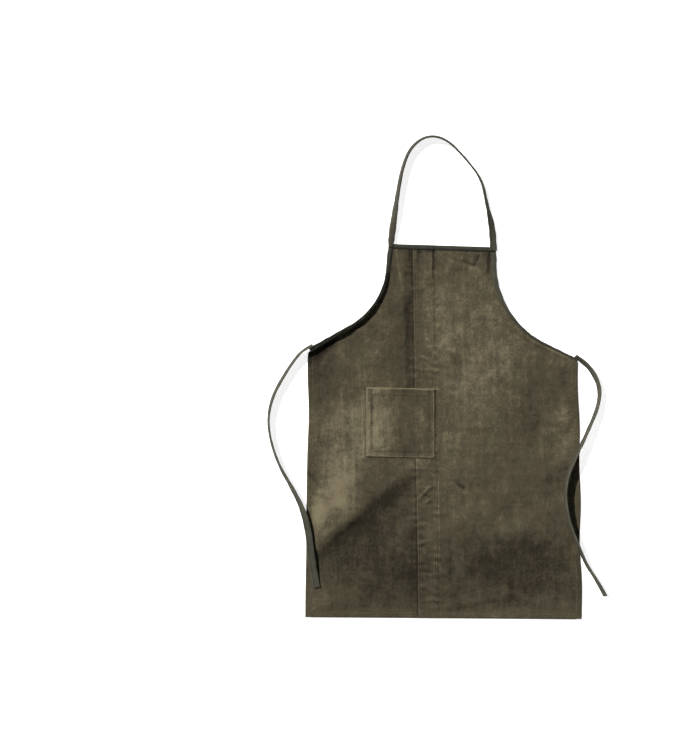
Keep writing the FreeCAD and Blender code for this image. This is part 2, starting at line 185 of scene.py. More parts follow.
# The table runs on into low white walls, so that a low view meets no dark horizon.
FLOOR_REACH, WALL_HEIGHT = 9.0, 2.4
square = [(-1, -1), (1, -1), (1, 1), (-1, 1)]
floor_mesh = bpy.data.meshes.new("table")
floor_mesh.from_pydata(
    [(x * FLOOR_REACH, y * FLOOR_REACH, z) for z in (0, WALL_HEIGHT) for x, y in square],
    [], [(0, 1, 2, 3)] + [(k, k + 4, (k + 1) % 4 + 4, (k + 1) % 4) for k in range(4)],
)
floor = bpy.data.objects.new("table", floor_mesh)
bpy.context.scene.collection.objects.link(floor)
white = Finish("white_table", Base_Color=(0.86, 0.86, 0.86, 1), Roughness=0.9)
white.surface.inputs["Emission Color"].default_value = (1, 1, 1, 1)
white.surface.inputs["Emission Strength"].default_value = TABLE_GLOW
floor_mesh.materials.append(white.material)


# ==================================================================== how the cloth lies
# Two canvas panels, lapped and sewn down the middle, lie as one soft sheet.  Every
# piece on the cloth takes its height from the two functions at this section's end.

BIB_LEFT = (-0.129, 0.440)
BIB_RIGHT = (0.124, 0.432)
LEFT_WAIST = (-0.316, 0.196)
RIGHT_WAIST = (0.316, 0.170)
BOTTOM_LEFT = (-0.325, -0.435)
BOTTOM_RIGHT = (0.325, -0.440)
LEFT_KNEE, LEFT_SWEEP = (-0.145, 0.291), 0.165
RIGHT_KNEE, RIGHT_SWEEP = (0.126, 0.264), 0.205
LAP_TOP_X, LAP_BOTTOM_X, LAP_WIDTH = -0.072, -0.058, 0.046
CANVAS = 1.0 * mm
HEM_THICK = 2.0 * mm
LOFT = 1.6 * mm


def line(y_or_x, one, other, axis):
    """The other coordinate of a straight edge, where it crosses y (axis 1) or x (0)."""
    share = (y_or_x - one[axis]) / (other[axis] - one[axis])
    return one[1 - axis] + (other[1 - axis] - one[1 - axis]) * share


def lap_left(y):
    return line(y, (LAP_TOP_X, BIB_LEFT[1]), (LAP_BOTTOM_X, BOTTOM_LEFT[1]), 1)


def top_edge(x):
    return line(x, BIB_LEFT, BIB_RIGHT, 0)


def bottom_edge(x):
    return line(x, BOTTOM_LEFT, BOTTOM_RIGHT, 0)


def armhole(corner, knee, waist, sweep, count=150):
    """Even stations down an armhole: two straight runs and the arc that joins them."""
    corner, knee, waist = (np.array(p) for p in (corner, knee, waist))
    back = (corner - knee) / np.linalg.norm(corner - knee)
    ahead = (waist - knee) / np.linalg.norm(waist - knee)
    half_turn = (math.pi - math.acos(back @ ahead)) / 2
    start = knee + back * sweep * math.tan(half_turn)
    middle = back + ahead
    centre = knee + middle / np.linalg.norm(middle) * sweep / math.cos(half_turn)
    spoke = start - centre
    turn = 2 * half_turn * (1 if spoke[0] * back[1] - spoke[1] * back[0] < 0 else -1)
    arc = [
        centre + np.array([
            spoke[0] * math.cos(a) - spoke[1] * math.sin(a),
            spoke[0] * math.sin(a) + spoke[1] * math.cos(a),
        ])
        for a in np.linspace(0, turn, 60)
    ]
    return resample(np.array([corner, *arc, waist]), count)


def resample(points, count):
    """Points at even distances along a polyline."""
    points = np.asarray(points, float)
    steps = np.linalg.norm(np.diff(points, axis=0), axis=1)
    run = np.concatenate([[0], np.cumsum(steps)])
    even = np.linspace(0, run[-1], count)
    return np.stack([np.interp(even, run, column) for column in points.T], axis=1)


def tangents(points):
    way = np.gradient(points, axis=0)
    return way / np.linalg.norm(way, axis=1)[:, None]


def smooth(low, high, value):
    share = np.clip((value - low) / (high - low), 0, 1)
    return share * share * (3 - 2 * share)


def waves(x, y, length, seed, count=14):
    """Soft random hills about one wavelength apart, between about -1 and 1."""
    pick = np.random.default_rng(seed)
    total = np.zeros_like(x)
    for _ in range(count):
        angle = pick.uniform(0, math.pi)
        size = length * pick.uniform(0.7, 1.5)
        along = x * math.cos(angle) + y * math.sin(angle)
        total += np.sin(2 * math.pi * along / size + pick.uniform(0, 2 * math.pi))
    return total / math.sqrt(count)


# Each binding is folded tape, sewn over the raw edge.  Shares down the armhole, then
# how far the leaf leans up from the cloth there (degrees) and how wide it is (mm):
# the left one stands on its edge, the right one lies nearly flat.
TUCK = 3.0 * mm
armholes = {}
for side, stations, inward, shares, leans, leaves in (
    ("left", armhole(BIB_LEFT, LEFT_KNEE, LEFT_WAIST, LEFT_SWEEP), 1,
     (0, 0.10, 0.22, 0.45, 0.80, 1), (4, 12, 55, 76, 70, 62), (11, 11, 12, 13, 17, 19)),
    ("right", armhole(BIB_RIGHT, RIGHT_KNEE, RIGHT_WAIST, RIGHT_SWEEP), -1,
     (0, 0.25, 0.45, 0.80, 1), (2, 10, 30, 16, 6), (12, 11, 7.5, 5.5, 5.5)),
):
    way = tangents(stations)
    share = np.linspace(0, 1, len(stations))
    into_cloth = np.stack([-way[:, 1], way[:, 0]], axis=1) * inward
    lean = np.radians(np.interp(share, shares, leans))
    leaf = np.interp(share, shares, leaves) * mm
    root = stations + into_cloth * (leaf * np.cos(lean) + 1.5 * mm * np.sin(lean))[:, None]
    raw = root - into_cloth * (TUCK * np.cos(lean))[:, None]
    armholes[side] = {
        "inward": into_cloth, "lean": lean, "leaf": leaf, "root": root, "raw": raw, "share": share,
    }

SIDE_WAVER = 1.6 * mm
WAIST_TURN = 14 * mm


def side_x(y, side):
    """The edge of the canvas at height y: armhole above the waist, side fold below."""
    hole = armholes[side]
    sign = -1 if side == "left" else 1
    waist, bottom = (
        (LEFT_WAIST, BOTTOM_LEFT) if side == "left" else (RIGHT_WAIST, BOTTOM_RIGHT)
    )
    fold = line(y, waist, bottom, 1) + sign * SIDE_WAVER * waves(y * 0, y, 0.19, 7 + sign, 5)
    fold = fold - sign * 1.0 * mm
    raw = np.interp(y, hole["raw"][::-1, 1], hole["raw"][::-1, 0])
    turn = waist[1] - WAIST_TURN
    above = smooth(turn, turn + 10 * mm, y)
    inner = np.minimum(np.abs(fold), np.abs(raw)) * sign
    return fold * (1 - above) + np.where(y > turn, inner, fold) * above


# Creases and swells: both ends, height, and how far each side of the line falls
# away, the lit side first.  Lengths in millimetres.
FOLDS = [
    ((-300, -262), (-66, -62), 6.2, 62, 34),
    ((-290, -268), (-180, -176), 2.0, 20, 9),
    ((-318, -120), (-270, -150), 2.2, 12, 6),
    ((-300, 120), (-222, 84), 2.6, 34, 20),
    ((-262, 208), (-205, 150), 3.0, 22, 22),
    ((-96, 430), (-90, 300), 2.4, 12, 15),
    ((-100, 300), (-92, 150), 0.9, 20, 18),
    ((-27, 434), (-25, 372), 2.3, 12, 3.5),
    ((-62, 432), (-66, 396), 1.5, 7, 4),
    ((9, 414), (72, 391), -1.7, 5, 6),
    ((72, 391), (84, 414), -1.7, 4, 5),
    ((30, 396), (96, 380), 1.3, 10, 8),
    ((100, 420), (112, 352), 2.0, 12, 7),
    ((20, 330), (120, 268), 1.6, 34, 20),
    ((10, 190), (22, 40), 1.7, 17, 12),
    ((60, 118), (192, 142), 2.4, 40, 26),
    ((30, 24), (205, 8), 3.2, 34, 17),
    ((110, 128), (170, 60), 2.6, 30, 18),
    ((232, -6), (306, 30), 4.2, 34, 20),
    ((250, -92), (312, -58), 2.4, 20, 12),
    ((28, -122), (50, -134), -2.0, 6, 5),
    ((-28, -126), (20, -130), 0.9, 9, 6),
    ((60, -180), (178, -246), 3.4, 44, 34),
    ((140, -240), (246, -252), 1.3, 24, 20),
    ((-10, -412), (150, -378), 2.6, 18, 12),
    ((150, -378), (250, -398), 2.0, 20, 12),
    ((-210, -312), (-120, -372), 1.6, 18, 11),
    ((-300, -330), (-262, -392), 2.0, 16, 9),
    ((-150, -180), (-100, -250), 1.4, 16, 12),
    ((250, 130), (300, 60), 2.2, 20, 14),
    ((180, 200), (280, 150), 1.5, 16, 10),
]
# Pinches along the seam, the deepest just below the pocket, given the same way.
PINCHES = [
    ((-50, -152), (-33, -134), 2.6, 5, 3.2),
    ((-44, -164), (-30, -156), 1.6, 4, 3),
    ((-52, -128), (-30, -124), 1.0, 4, 3),
    ((-60, -18), (-36, -6), 0.8, 5, 4),
    ((-48, 66), (-26, 60), 0.8, 5, 4),
    ((-58, 150), (-34, 146), 1.0, 4, 3),
    ((-60, 176), (-36, 170), 1.1, 5, 3),
    ((-62, 214), (-40, 216), 0.8, 4, 3),
    ((-66, 262), (-44, 256), 0.9, 5, 3),
    ((-58, -210), (-36, -214), 0.9, 4, 3),
    ((-56, -262), (-32, -258), 1.0, 5, 3),
    ((-54, -330), (-30, -336), 0.9, 5, 4),
    ((-52, -392), (-28, -388), 0.8, 4, 3),
]


def ridges(x, y, folds):
    """The summed height of a list of folds."""
    total = np.zeros_like(x)
    for one, other, height, lit, shade in folds:
        ax, ay, bx, by = (v * mm for v in (*one, *other))
        way_x, way_y = bx - ax, by - ay
        long = math.hypot(way_x, way_y)
        way_x, way_y = way_x / long, way_y / long
        along = (x - ax) * way_x + (y - ay) * way_y
        across = (y - ay) * way_x - (x - ax) * way_y
        lamp_side = way_x * math.sin(LAMP_BEARING) - way_y * math.cos(LAMP_BEARING)
        across = across * (1 if lamp_side > 0 else -1)
        across = across + 3 * mm * waves(along, along * 0, 0.09, int(abs(ax) * 1e4), 4)
        width = np.where(across > 0, lit, shade) * mm
        past = np.maximum(np.maximum(-along, along - long), 0)
        taper = smooth(0, 1, 1.15 - np.abs(along - long / 2) / long)
        total += height * mm * np.exp(-((across / width) ** 2) - (past / (12 * mm)) ** 2) * taper
    return total


def lie(x, y):
    """Height of the top of one layer of canvas at x, y."""
    x, y = np.broadcast_arrays(np.asarray(x, float), np.asarray(y, float))
    left_gap = x - side_x(y, "left")
    right_gap = side_x(y, "right") - x
    low_gap = y - bottom_edge(x)
    top_gap = top_edge(x) - y
    edge_gap = np.minimum(np.minimum(left_gap, right_gap), np.minimum(low_gap, top_gap))
    on_hem = 1 - smooth(11 * mm, 30 * mm, edge_gap)
    inner = smooth(2 * mm, 40 * mm, edge_gap)
    swell = (
        2.3 * mm * waves(x, y, 0.30, 3)
        + 1.25 * mm * waves(x, y, 0.120, 5)
        + 0.50 * mm * waves(x, y, 0.050, 11)
        + 0.17 * mm * waves(x, y, 0.021, 17)
    )
    # Sharp little creases, where the cloth has been crushed.
    crushed = 0.55 + 0.45 * waves(x, y, 0.16, 67, 6)
    swell = swell + crushed * (
        0.46 * mm * (0.7 - np.abs(waves(x, y, 0.070, 61, 7)))
        + 0.20 * mm * (0.7 - np.abs(waves(x, y, 0.036, 71, 7)))
    )
    swell = swell * (0.25 + 0.75 * inner) + ridges(x, y, FOLDS) * (0.35 + 0.65 * inner)
    # Shrinkage along the sewn rows: the seam, the bib's top and the hems.
    seam = lap_left(y)
    for row in (seam + 2 * mm, seam + LAP_WIDTH - 2 * mm):
        near = np.exp(-(((x - row) / (15 * mm)) ** 2))
        swell = swell + 0.58 * mm * near * waves(x * 0.35, y, 0.014, 23, 7)
    under_top = np.exp(-((top_gap - 16 * mm) / (20 * mm)) ** 2)
    swell = swell + 0.85 * mm * under_top * waves(x, y * 0.25, 0.020, 29, 6)
    at_hem = np.exp(-((edge_gap - 13 * mm) / (9 * mm)) ** 2)
    swell = swell + 0.22 * mm * at_hem * waves(x, y, 0.019, 31, 8)
    swell = swell + 1.2 * ridges(x, y, PINCHES)
    # The tie pulls the left waist corner up.
    corner = np.hypot(x - LEFT_WAIST[0], y - LEFT_WAIST[1])
    swell = swell + 1.5 * mm * np.exp(-((corner / (30 * mm)) ** 2))
    # The armhole's curl lifts the canvas just inside the tape.
    hole = armholes["left"]
    near_y = np.interp(x, hole["root"][::-1, 0], hole["root"][::-1, 1])
    in_curl = np.exp(-(((near_y - y) / (11 * mm)) ** 2)) * smooth(0.125, 0.300, -x)
    swell = swell + 3.6 * mm * in_curl
    # The table stops it from sinking.
    swell = swell + LOFT
    pressed = np.where(swell > 0, swell, 0.15 * swell)
    soft = 0.6 * mm
    pressed = soft * np.log1p(np.exp(np.clip(pressed / soft, -30, 30)))
    return CANVAS + pressed * (1 - 0.6 * on_hem) + HEM_THICK * on_hem


def on_lap(x, y):
    """1 where the right panel lies over the left one, falling away past the joggle."""
    left = lap_left(y)
    return (x > left) * (1 - smooth(left + LAP_WIDTH, left + LAP_WIDTH + 5 * mm, x))


def face(x, y):
    """Height of the uppermost canvas at x, y."""
    return lie(x, y) + CANVAS * on_lap(np.asarray(x, float), np.asarray(y, float))


# ==================================================================== canvas panels
# Used tent canvas, sun-faded and streaked with dirt, with painted highlight and painted shade on
# its folds and creases.
# The left panel runs on under the seam, and the right panel laps over it and is sewn down twice.

PANEL_ROWS, LEFT_COLUMNS, RIGHT_COLUMNS = 318, 122, 150
BIND_TUCK = 2.5 * mm
RISE_REACH, RISE_FULL = 7.2 * mm, 0.35 * mm
CANVAS_COLOUR = (0.0575, 0.0500, 0.0330)


def shell(name, top, under):
    """A closed skin between two grids of points, which share rows and columns."""
    rows, columns = top.shape[:2]
    points = np.concatenate([top.reshape(-1, 3), under.reshape(-1, 3)])
    number = np.arange(rows * columns).reshape(rows, columns)
    lower = number + rows * columns
    faces = [np.stack([
        number[:-1, :-1], number[:-1, 1:], number[1:, 1:], number[1:, :-1],
    ], axis=-1).reshape(-1, 4)]
    faces.append(np.stack([
        lower[:-1, :-1], lower[1:, :-1], lower[1:, 1:], lower[:-1, 1:],
    ], axis=-1).reshape(-1, 4))
    for upper_rim, lower_rim in (
        (number[0], lower[0]), (number[:, -1], lower[:, -1]),
        (number[-1, ::-1], lower[-1, ::-1]), (number[::-1, 0], lower[::-1, 0]),
    ):
        faces.append(np.stack(
            [upper_rim[1:], upper_rim[:-1], lower_rim[:-1], lower_rim[1:]], axis=-1
        ))
    return solid(name, points, np.concatenate(faces).tolist())


def solid(name, points, faces):
    mesh = bpy.data.meshes.new(name)
    mesh.from_pydata([tuple(p) for p in points], [], faces)
    mesh.update()
    mesh.shade_smooth()
    piece = bpy.data.objects.new(name + "_look", mesh)
    bpy.context.scene.collection.objects.link(piece)
    return piece


def keep(piece, name, values):
    """Stores one number per point for the materials to read."""
    store = piece.data.attributes.new(name, "FLOAT", "POINT")
    store.data.foreach_set("value", np.asarray(values, np.float32))


def sewn_on(piece, slot, *nodes):
    """Hands over a piece that is sewn to the body and stays with it."""
    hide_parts(*(nodes or [piece.name.removesuffix("_look")]))
    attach(piece, "apron")
    return piece


# Where the cloth is lighter (plus) and darker (minus): middle and reach in mm, amount. Fading and
# soiling, with painted highlight and painted shade beside folds and under the bib's top binding.
FADE_AND_SHADE_PATCHES = [
    ((60, 240), (120, 160), 0.15),
    ((100, 100), (58, 62), 0.17),
    ((40, 20), (50, 60), 0.10),
    ((-86, 270), (26, 170), -0.22),
    ((-84, -10), (20, 60), -0.05),
    # Painted shade under the bib's top binding.
    ((-50, 415), (44, 24), -0.20),
    ((100, 412), (26, 26), -0.16),
    ((-105, 350), (9, 80), 0.16),
    ((-15, 300), (26, 120), 0.12),
    ((-262, 150), (52, 60), -0.12),
    ((-180, 150), (36, 44), 0.10),
    ((-205, 10), (90, 84), 0.25),
    # The next two are painted highlight on the lit side of the big diagonal fold.
    ((-246, -130), (44, 60), 0.46),
    ((-292, -196), (22, 40), 0.60),
    # The next four are painted shade below the big diagonal fold.
    ((-128, -150), (50, 44), -0.22),
    ((-176, -222), (70, 40), -0.20),
    ((-200, -300), (120, 80), -0.24),
    ((-105, -320), (90, 110), -0.10),
    ((-26, -270), (16, 130), 0.12),
    ((110, -305), (170, 66), -0.26),
    ((240, -290), (90, 110), -0.20),
    ((170, -215), (50, 20), 0.12),
    ((200, 20), (60, 60), -0.10),
    ((288, 5), (24, 60), 0.22),
    ((250, -120), (44, 40), -0.18),
    ((180, 190), (60, 40), 0.10),
    ((280, 190), (30, 30), 0.20),
    ((235, 85), (50, 50), -0.08),
    ((110, -100), (60, 60), -0.06),
    ((-255, -395), (70, 28), 0.10),
    ((100, -430), (220, 7), 0.10),
    ((60, -320), (330, 80), -0.09),
    # Painted highlight on the lit side of the big diagonal fold.
    ((-250, -152), (24, 32), 0.22),
    ((50, -385), (230, 50), -0.16),
    ((-220, -400), (90, 34), -0.10),
    ((-30, -45), (26, 50), 0.14),
    ((-112, 380), (24, 60), -0.14),
    # Painted shade below the big diagonal fold.
    ((-128, -190), (44, 34), -0.12),
    ((290, 110), (34, 60), -0.10),
    ((-310, 120), (30, 50), -0.16),
]
# Lighter (plus) and darker (minus) lines: both ends, half width, amount. Wear and soiling, with
# painted shade in creases, painted highlight on raised edges and a painted shadow by the left
# armhole.
MARK_AND_SHADE_LINES = [
    ((-190, 100), (-190, -60), 1.2, 0.34),
    ((-186.5, 92), (-187, -60), 1.0, 0.26),
    ((-20, 99), (-10, 98), 1.5, 0.40),
    # Painted shade in a vertical crease below the bib's top.
    ((-24, 432), (-25, 380), 2.2, -0.45),
    ((-74, 428), (-68.5, 106), 1.8, -0.22),
    ((-66, -64), (-60.0, -432), 1.8, -0.34),
    # The next two are a painted highlight along the lapped panel's raised edge.
    ((-70.5, 428), (-65, 106), 1.2, 0.14),
    ((-62.5, -64), (-56.5, -432), 1.4, 0.20),
    ((-12, -70), (-8, -432), 1.6, 0.20),
    # Painted shade under the bib's top binding.
    ((-76, 424), (-26, 424), 5, -0.25),
    ((107, 430), (105, 372), 4.5, -0.45),
    # The next four are painted shade in creases and a pinch.
    ((44, 401), (72, 391), 1.8, -0.36),
    ((72, 391), (84, 414), 2.0, -0.46),
    ((32, -124), (47, -132), 1.8, -0.40),
    ((-48, -146), (-34, -152), 2.2, -0.34),
    ((-322, -92), (-296, -118), 4.5, -0.30),
    # Painted shadow of the left armhole's standing tape, on the canvas near the waist.
    ((-328, 166), (-268, 206), 15, -0.80),
    ((-82, 300), (-78, 108), 12, -0.22),
    ((-76, -66), (-72, -420), 9, -0.06),
    ((-112, 430), (-96, 330), 3.5, 0.22),
    # Painted highlight along the big diagonal fold's crest, then painted shade below it.
    ((-300, -258), (-80, -80), 10, 0.14),
    ((-290, -290), (-90, -120), 20, -0.20),
    ((-240, 100), (-228, -120), 3, 0.12),
    ((-214, 140), (-210, -200), 2.5, 0.10),
    ((40, 300), (52, 60), 4, 0.10),
    ((150, 200), (160, -60), 5, 0.08),
]


def stain_and_painted_light(x, y):
    """How much lighter (plus) or darker (minus) the canvas is here, from stains, wear, painted
    highlight and painted shade.
    """
    total = np.zeros_like(x)
    for (cx, cy), (rx, ry), amount in FADE_AND_SHADE_PATCHES:
        away = ((x / mm - cx) / rx) ** 2 + ((y / mm - cy) / ry) ** 2
        total += amount * np.exp(-away)
    for one, other, width, amount in MARK_AND_SHADE_LINES:
        way = np.array(other, float) - one
        long = np.linalg.norm(way)
        along = np.clip(((x / mm - one[0]) * way[0] + (y / mm - one[1]) * way[1]) / long, 0, long)
        off = np.hypot(x / mm - one[0] - way[0] / long * along,
                       y / mm - one[1] - way[1] / long * along)
        total += amount * np.exp(-((off / width) ** 2))
    return total


def canvas_finish(name, colour, side):
    """Streaked canvas: faded along its folds, soiled along its seams, with painted highlight on
    crests and painted shade in hollows and creases.
    """
    finish = Finish(name, Roughness=0.95)
    finish.surface.inputs["Specular IOR Level"].default_value = 0.12
    pale = tuple(min(1.0, c * 2.7) for c in colour)
    dark = tuple(c * 0.30 for c in colour)
    cloud = finish.noise(9 + side, 5, 0.62)
    patch = finish.noise(34 + side, 6, 0.68)
    streak = finish.noise(46 + side, 4, 0.62, (1.0, 0.10, 1.0))
    scratch = finish.noise(330, 3, 0.62, (1.0, 0.10, 1.0))
    cross = finish.noise(52 + side, 3, 0.62, (0.12, 1.0, 1.0))
    speck = finish.noise(170, 4, 0.75)
    grain = finish.noise(900, 2, 0.60)
    # The stored marks bring painted highlight and painted shade along with the stains, and the
    # crest value paints crests lighter and hollows darker.
    shade = (
        0.5
        + (cloud - 0.5) * 0.50
        + (patch - 0.5) * 0.60
        + (streak - 0.5) * 0.36
        + (scratch - 0.5) * 0.30
        + (cross - 0.5) * 0.26
        + (speck - 0.5) * 0.70
        + (grain - 0.5) * 0.24
        + finish.attribute("stain_and_painted_light") * 1.0
        + finish.attribute("wear_and_hollow_shade") * 0.16
    )
    paling = shade.band(0.46, 1.10)
    soil_and_shade = 1.0 - shade.band(-0.08, 0.55)
    tinted = finish.mix(paling, (*colour, 1), (*pale, 1))
    tinted = finish.mix(soil_and_shade, tinted, (*dark, 1))
    rusty = finish.noise(15 + side, 4, 0.6).band(0.46, 0.66)
    green = finish.noise(11 + side, 4, 0.6, (1.0, 0.8, 1.0)).band(0.52, 0.70)
    tinted = finish.shift(rusty * 0.22, tinted, (1.10, 0.94, 0.84, 1))
    tinted = finish.shift(green * 0.45, tinted, (0.90, 1.02, 0.94, 1))
    finish.feed(Base_Color=tinted)
    weft = finish.noise(620, 2, 0.5, (0.35, 1.0, 1.0))
    warp = finish.noise(620, 2, 0.5, (1.0, 0.35, 1.0))
    crumple = finish.noise(60, 5, 0.60)
    wrinkle = finish.noise(150, 4, 0.60)
    finish.bump((weft + warp) * 0.25 + crumple * 1.5 + wrinkle * 0.9 + speck * 0.45, 0.90, 1.6 * mm)
    return finish.material


left_canvas = canvas_finish("left_canvas", CANVAS_COLOUR, 0)
right_canvas = canvas_finish("right_canvas", tuple(c * 1.05 for c in CANVAS_COLOUR), 3)
pocket_canvas = canvas_finish("pocket_canvas", tuple(c * 0.97 for c in CANVAS_COLOUR), 5)

LOW, HIGH = (BOTTOM_LEFT[1] + BOTTOM_RIGHT[1]) / 2, (BIB_LEFT[1] + BIB_RIGHT[1]) / 2


def panel(name, left_side, right_side, columns, over_seam):
    """One panel as level rows from the hem to the bib, each run from side to side."""
    level = np.linspace(LOW + 0.6 * mm, HIGH - BIND_TUCK, PANEL_ROWS)[:, None]
    start, end = left_side(level), right_side(level)
    x = start + (end - start) * np.linspace(0, 1, columns)[None, :]
    lowest = bottom_edge(x) - LOW
    highest = top_edge(np.clip(x, BIB_LEFT[0], BIB_RIGHT[0])) - HIGH
    y = level + lowest * (1 - smooth(-0.43, -0.30, level)) + highest * smooth(0.30, 0.43, level)
    height = lie(x, y)
    z = height + CANVAS * on_lap(x, y) if over_seam else height
    top = np.stack([x, y, z], axis=-1)
    under = top - np.array([0, 0, CANVAS])
    piece = shell(name, top, under)
    # Cloth standing above its neighbours is painted lighter and cloth lying below them darker:
    # painted highlight on crests and painted shade in hollows, besides wear on the folds.
    steps = np.linspace(-RISE_REACH, RISE_REACH, 7)
    around = sum(lie(x + step, y) + lie(x, y + step) for step in steps) / (2 * len(steps))
    wear_and_hollow_shade = np.clip((height - around) / RISE_FULL, -1, 1)
    keep(piece, "wear_and_hollow_shade", np.tile(wear_and_hollow_shade.ravel(), 2))
    keep(piece, "stain_and_painted_light", np.tile(stain_and_painted_light(x, y).ravel(), 2))
    return piece, float(np.mean(end - start)) * (HIGH - LOW)


left_panel, left_area = panel(
    "left_panel", lambda y: side_x(y, "left"), lambda y: lap_left(y) + LAP_WIDTH,
    LEFT_COLUMNS, False,
)
left_panel.data.materials.append(left_canvas)
sewn_on(left_panel, "left_canvas")
right_panel, right_area = panel(
    "right_panel", lap_left, lambda y: side_x(y, "right"), RIGHT_COLUMNS, True,
)
right_panel.data.materials.append(right_canvas)
sewn_on(right_panel, "right_canvas")


# ==================================================================== hems
# The sides and the bottom are turned under twice, 13 mm wide, and sewn down.  The
# fold's round edge just shows outside the panel.

def sweep(name, places, across, up, section):
    """A closed section, given per station or once, carried along a route; ends capped."""
    section = np.broadcast_to(section, (len(places), *np.shape(section)[-2:]))
    points = (
        places[:, None, :]
        + across[:, None, :] * section[:, :, 0:1]
        + up[:, None, :] * section[:, :, 1:2]
    )
    count, around = points.shape[:2]
    number = np.arange(count * around).reshape(count, around)
    following = np.roll(number, -1, axis=1)
    faces = np.stack(
        [number[:-1], following[:-1], following[1:], number[1:]], axis=-1
    ).reshape(-1, 4).tolist()
    faces.append(number[0, ::-1].tolist())
    faces.append(number[-1].tolist())
    piece = solid(name, points.reshape(-1, 3), faces)
    volume = sum(
        Vector(f.center).dot(f.normal) * f.area for f in piece.data.polygons
    )
    if volume < 0:
        piece.data.flip_normals()
    return piece


# Once round the hem: how far in from the edge (mm), and what share of the height
# under the panel it stands.
HEM_OUTLINE = [
    (-0.4, 0.15), (-0.9, 0.45), (-1.0, 0.80), (-0.7, 1.22), (0.2, 1.30), (0.6, 0.97),
    (4, 0.97), (9, 0.97), (12.6, 0.95), (13.0, 0.60), (12.6, 0.10), (6, 0.06),
]
HEM_START, HEM_STOP = 2.5 * mm, 8 * mm
BOTTOM_INSET = 14 * mm


def hem(name, edge, inward, material, slot):
    """Turned-under cloth beneath the panel's edge, thinning away from the fold."""
    stations = len(edge)
    section = np.empty((stations, len(HEM_OUTLINE), 2))
    for column, (reach, share) in enumerate(HEM_OUTLINE):
        spot = edge + inward * max(reach, 1.0) * mm
        beneath = lie(spot[:, 0], spot[:, 1]) - CANVAS
        section[:, column, 0] = reach * mm
        section[:, column, 1] = beneath * share
    places = np.column_stack([edge, np.zeros(stations)])
    across = np.column_stack([inward, np.zeros(stations)])
    up = np.tile([0.0, 0.0, 1.0], (stations, 1))
    piece = sweep(name, places, across, up, section)
    points = np.array([v.co[:] for v in piece.data.vertices])
    keep(piece, "wear_and_hollow_shade", np.full(len(points), 0.5))
    keep(piece, "stain_and_painted_light", stain_and_painted_light(points[:, 0], points[:, 1]) + 0.1)
    piece.data.materials.append(material)
    return sewn_on(piece, slot)


def side_line(side, waist, count=210):
    y = np.linspace(LOW + HEM_START, waist[1] - HEM_STOP, count)
    return np.stack([side_x(y, side), y], axis=1)


left_line = side_line("left", LEFT_WAIST)
right_line = side_line("right", RIGHT_WAIST)
flat_right = np.tile([1.0, 0.0], (len(left_line), 1))
left_side_hem = hem("left_side_hem", left_line, flat_right, left_canvas, "left_canvas")
right_side_hem = hem("right_side_hem", right_line, -flat_right, right_canvas, "right_canvas")
bottom_x = np.linspace(BOTTOM_LEFT[0] + BOTTOM_INSET, BOTTOM_RIGHT[0] - BOTTOM_INSET, 220)
bottom_line = np.stack([bottom_x, bottom_edge(bottom_x) + 0.6 * mm], axis=1)
flat_up = np.tile([0.0, 1.0], (len(bottom_line), 1))
bottom_hem = hem("bottom_hem", bottom_line, flat_up, right_canvas, "right_canvas")


# ==================================================================== bindings
# Dark cotton tape, folded over the raw edges of the bib and the armholes and sewn
# through.  The left armhole's tape has curled up on its edge.

def tape_finish(name, colour):
    finish = Finish(name, Roughness=0.88)
    finish.surface.inputs["Specular IOR Level"].default_value = 0.2
    dark = tuple(c * 0.45 for c in colour)
    pale = tuple(min(1.0, c * 2.0) for c in colour)
    cloud = finish.noise(40, 4, 0.65)
    speck = finish.noise(420, 3, 0.70)
    shade = 0.5 + (cloud - 0.5) * 0.8 + (speck - 0.5) * 0.8 + finish.attribute("wear_and_hollow_shade") * 0.4
    tinted = finish.mix(shade.band(0.45, 1.10), (*colour, 1), (*pale, 1))
    tinted = finish.mix(1.0 - shade.band(0.05, 0.52), tinted, (*dark, 1))
    finish.feed(Base_Color=tinted)
    finish.bump(finish.noise(900, 2, 0.5) * 0.5 + cloud, 0.6, 0.6 * mm)
    return finish.material


binding_tape = tape_finish("binding_tape", (0.039, 0.039, 0.030))

LEAF_IN, LEAF_OUT = 0.60 * mm, 1.55 * mm
TOP_LEAF = 11 * mm


def folded_tape(leaf):
    """The U of the tape round the raw edge: along the leaf, then through it."""
    front = [
        (0, LEAF_IN), (0, LEAF_OUT), (leaf * 0.5, LEAF_OUT * 1.05), (leaf - 1.6 * mm, LEAF_OUT),
    ]
    fold = [(leaf - 0.4 * mm, 0.9 * mm), (leaf, 0), (leaf - 0.4 * mm, -0.9 * mm)]
    back = [(leaf - 1.6 * mm, -LEAF_OUT), (0, -LEAF_OUT), (0, -LEAF_IN)]
    inside = [(leaf - 2.2 * mm, -LEAF_IN * 0.7), (leaf - 2.2 * mm, LEAF_IN * 0.7)]
    return np.array(front + fold + back + inside)


def armhole_frame(hole):
    """Foot of the tape, the way up its leaf and the way out of its front."""
    root = hole["root"]
    foot = np.column_stack([root, lie(root[:, 0], root[:, 1]) - CANVAS / 2])
    cosine, sine = np.cos(hole["lean"])[:, None], np.sin(hole["lean"])[:, None]
    inward = np.column_stack([hole["inward"], np.zeros(len(root))])
    up = np.array([[0.0, 0.0, 1.0]])
    return foot, -inward * cosine + up * sine, inward * sine + up * cosine


def armhole_binding(name, hole):
    foot, along_leaf, out_front = armhole_frame(hole)
    sections = np.array([folded_tape(leaf) for leaf in hole["leaf"]])
    ripple = 1 + 0.05 * waves(hole["share"], hole["share"] * 0, 0.06, 41, 6)
    sections[:, :, 0] *= ripple[:, None]
    piece = sweep(name, foot, along_leaf, out_front, sections)
    keep(piece, "wear_and_hollow_shade", np.zeros(len(piece.data.vertices)))
    piece.data.materials.append(binding_tape)
    return sewn_on(piece, "binding_tape")


left_armhole_binding = armhole_binding("left_armhole_binding", armholes["left"])
right_armhole_binding = armhole_binding("right_armhole_binding", armholes["right"])

